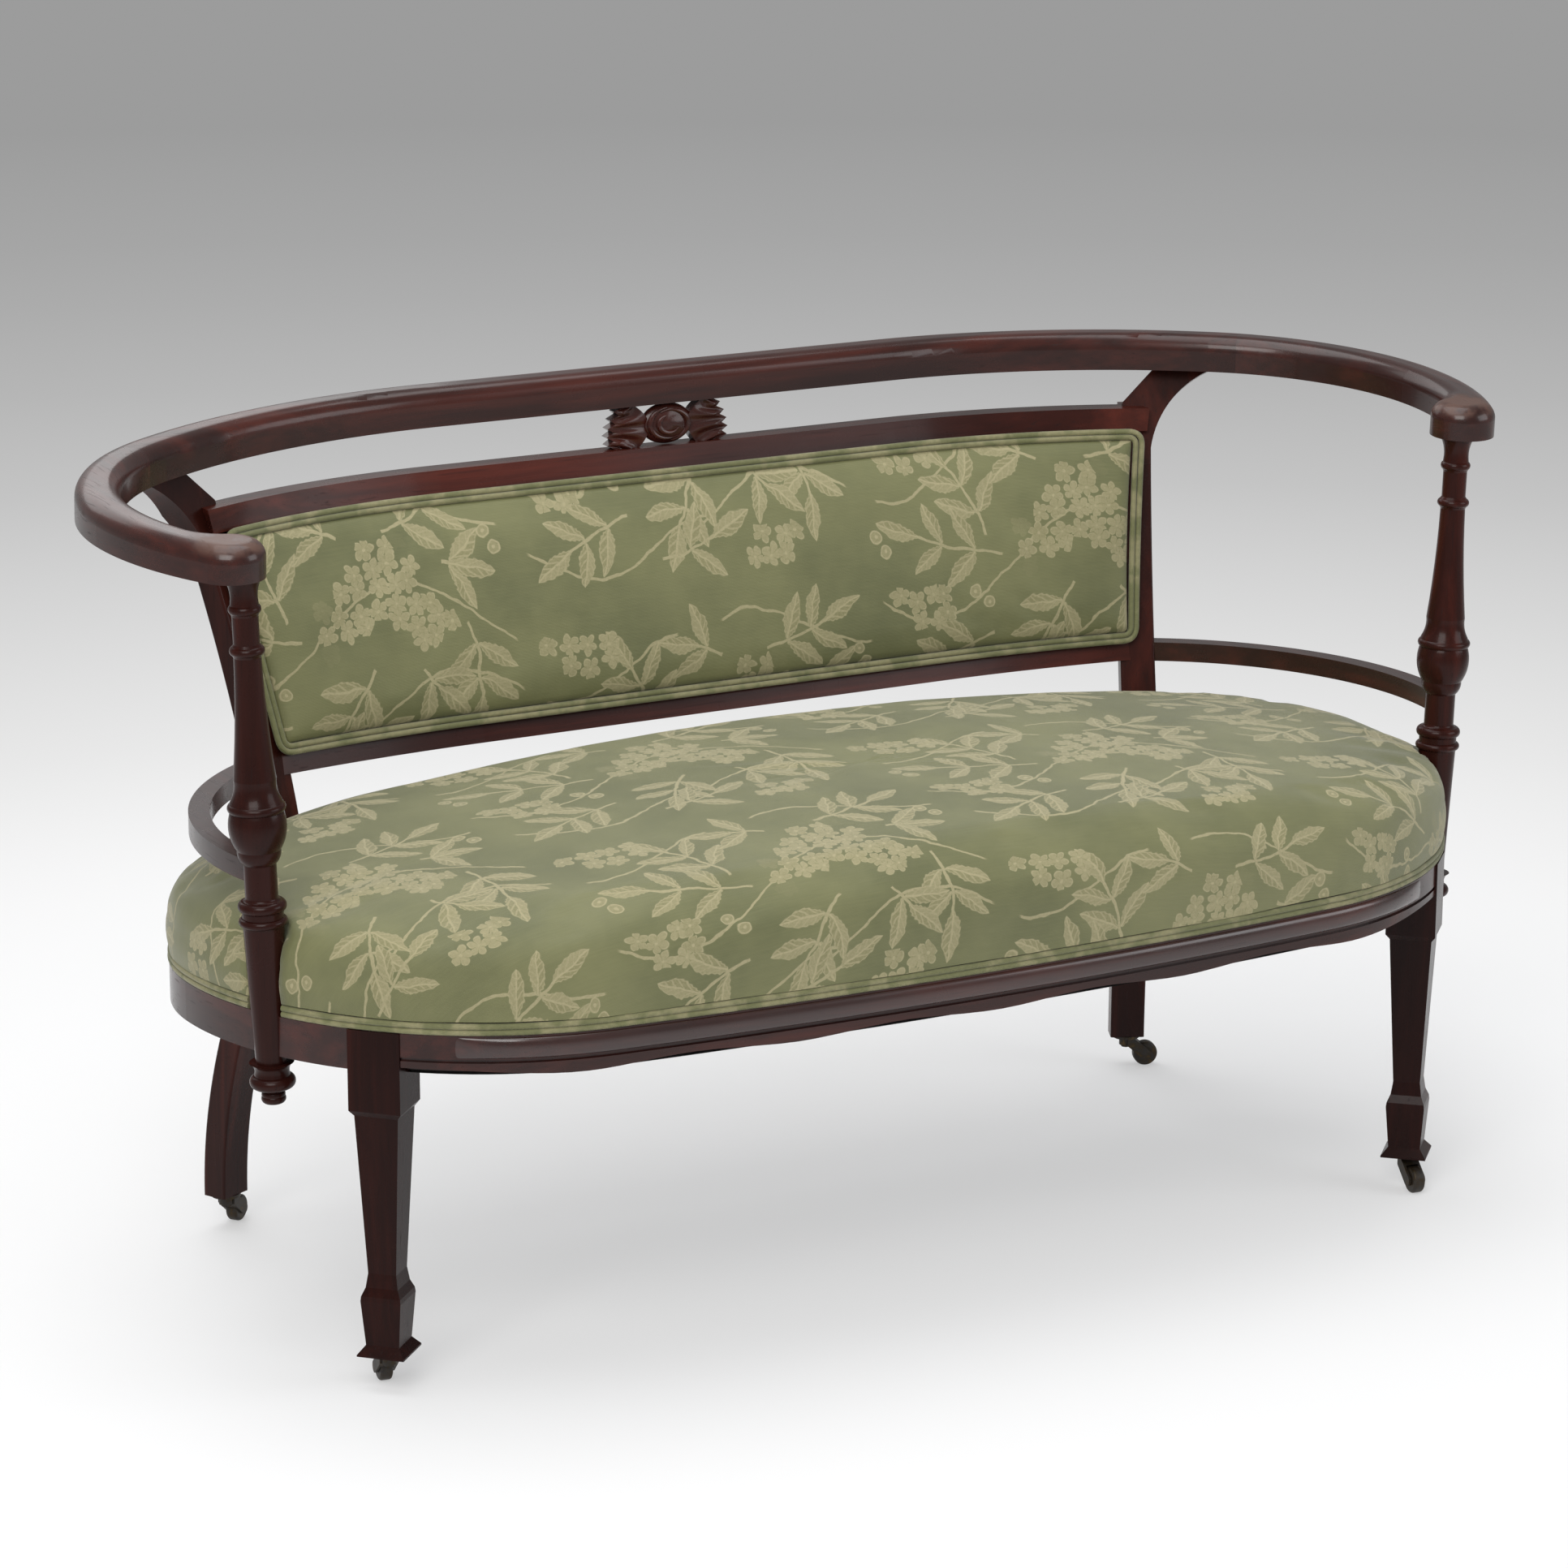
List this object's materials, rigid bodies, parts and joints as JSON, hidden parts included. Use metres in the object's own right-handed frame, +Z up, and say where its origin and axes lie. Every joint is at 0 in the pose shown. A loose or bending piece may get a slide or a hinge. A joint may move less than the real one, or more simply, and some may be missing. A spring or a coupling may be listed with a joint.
{
  "type": "settee",
  "caption": "Small open-arm settee with a bowed mahogany hoop back, carved splat, turned arm posts, sprung oval seat and swivel castors.",
  "frame": {"origin": "on the floor under the middle of the overall box", "axes": "+X to the right of someone who faces the settee, along its length; +Y from front to back; +Z up"},
  "size_m": [1.3282, 0.6274, 0.7313],
  "materials": {
    "mahogany": "polished",
    "beech": "sawn",
    "damask": "woven",
    "stuffing": "fibrous",
    "webbing": "woven",
    "hessian": "woven",
    "spring_steel": "drawn",
    "brass": "tarnished"
  },
  "bodies": {
    "frame": {"crest_rail": "mahogany", "left_arm_rail": "mahogany", "right_arm_rail": "mahogany", "left_rear_stile": "mahogany", "right_rear_stile": "mahogany", "back_top_rail": "mahogany", "back_bottom_rail": "mahogany", "carved_splat": "mahogany", "left_arm_post": "mahogany", "right_arm_post": "mahogany", "left_post_pendant": "mahogany", "right_post_pendant": "mahogany", "left_lower_arm_rail": "mahogany", "right_lower_arm_rail": "mahogany", "front_seat_rail": "mahogany", "left_end_rail": "mahogany", "right_end_rail": "mahogany", "left_front_leg": "mahogany", "right_front_leg": "mahogany", "rear_seat_rail": "beech", "corner_blocks": "beech", "crest_dowels": "beech", "seat_cover": "damask", "back_cover": "damask", "seat_piping": "damask", "back_piping": "damask", "seat_stuffing": "stuffing", "back_stuffing": "stuffing", "cross_webbing": "webbing", "long_webbing": "webbing", "spring_canvas": "hessian", "back_canvas": "hessian", "bottom_cloth": "hessian", "outside_back_cloth": "hessian", "seat_springs": "spring_steel", "corner_block_screws": "spring_steel", "castor_screws": "spring_steel", "left_front_castor_plate": "brass", "right_front_castor_plate": "brass", "left_rear_castor_plate": "brass", "right_rear_castor_plate": "brass"},
    "left_front_fork": {"left_front_castor_horn": "brass", "left_front_castor_axle": "brass"},
    "left_front_roller": {"left_front_castor_wheel": "brass"},
    "right_front_fork": {"right_front_castor_horn": "brass", "right_front_castor_axle": "brass"},
    "right_front_roller": {"right_front_castor_wheel": "brass"},
    "left_rear_fork": {"left_rear_castor_horn": "brass", "left_rear_castor_axle": "brass"},
    "left_rear_roller": {"left_rear_castor_wheel": "brass"},
    "right_rear_fork": {"right_rear_castor_horn": "brass", "right_rear_castor_axle": "brass"},
    "right_rear_roller": {"right_rear_castor_wheel": "brass"}
  },
  "joints": [
    {"name": "left_front_swivel", "type": "hinge", "parent": "frame", "child": "left_front_fork", "pos_m": [-0.51155, -0.19304, 0.025], "axis": [0, 0, 1], "continuous": true},
    {"name": "left_front_roll", "type": "hinge", "parent": "left_front_fork", "child": "left_front_roller", "pos_m": [-0.50825, -0.17433, 0.012], "axis": [-0.9848, 0.1736, 0], "continuous": true},
    {"name": "right_front_swivel", "type": "hinge", "parent": "frame", "child": "right_front_fork", "pos_m": [0.51155, -0.19304, 0.025], "axis": [0, 0, 1], "continuous": true},
    {"name": "right_front_roll", "type": "hinge", "parent": "right_front_fork", "child": "right_front_roller", "pos_m": [0.50857, -0.21181, 0.012], "axis": [0.9877, -0.1564, 0], "continuous": true},
    {"name": "left_rear_swivel", "type": "hinge", "parent": "frame", "child": "left_rear_fork", "pos_m": [-0.4776, 0.2267, 0.025], "axis": [0, 0, 1], "continuous": true},
    {"name": "left_rear_roll", "type": "hinge", "parent": "left_rear_fork", "child": "left_rear_roller", "pos_m": [-0.46283, 0.23866, 0.012], "axis": [-0.6293, 0.7771, 0], "continuous": true},
    {"name": "right_rear_swivel", "type": "hinge", "parent": "frame", "child": "right_rear_fork", "pos_m": [0.4776, 0.2267, 0.025], "axis": [0, 0, 1], "continuous": true},
    {"name": "right_rear_roll", "type": "hinge", "parent": "right_rear_fork", "child": "right_rear_roller", "pos_m": [0.49545, 0.2202, 0.012], "axis": [0.342, 0.9397, 0], "continuous": true}
  ]
}
